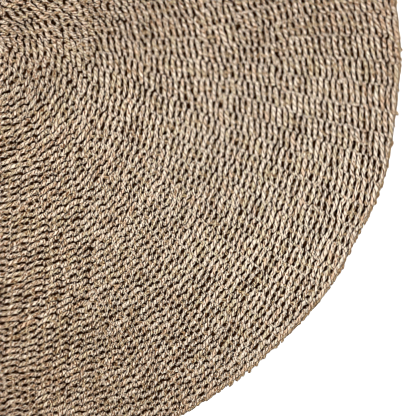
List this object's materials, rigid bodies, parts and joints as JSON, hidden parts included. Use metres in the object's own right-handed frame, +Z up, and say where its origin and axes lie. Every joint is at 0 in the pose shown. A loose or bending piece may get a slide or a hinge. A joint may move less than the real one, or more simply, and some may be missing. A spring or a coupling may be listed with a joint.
{
  "type": "round sisal rug",
  "caption": "Round flat floor rug, worked in rings of stitches from thick twisted plant-fibre rope, with a slightly uneven edge.",
  "frame": {"origin": "centre of the rings, on the underside that lies on the floor", "axes": "+Z up, out of the walked-on face; +X and +Y lie in the floor, and the rug is alike all round but for its slightly uneven edge"},
  "size_m": [1.4902, 1.5094, 0.012],
  "materials": {
    "rope": "dry, matt twisted plant fibre in mixed straw, tan and grey-brown"
  },
  "bodies": {
    "root": {"rug": "rope"}
  },
  "joints": []
}
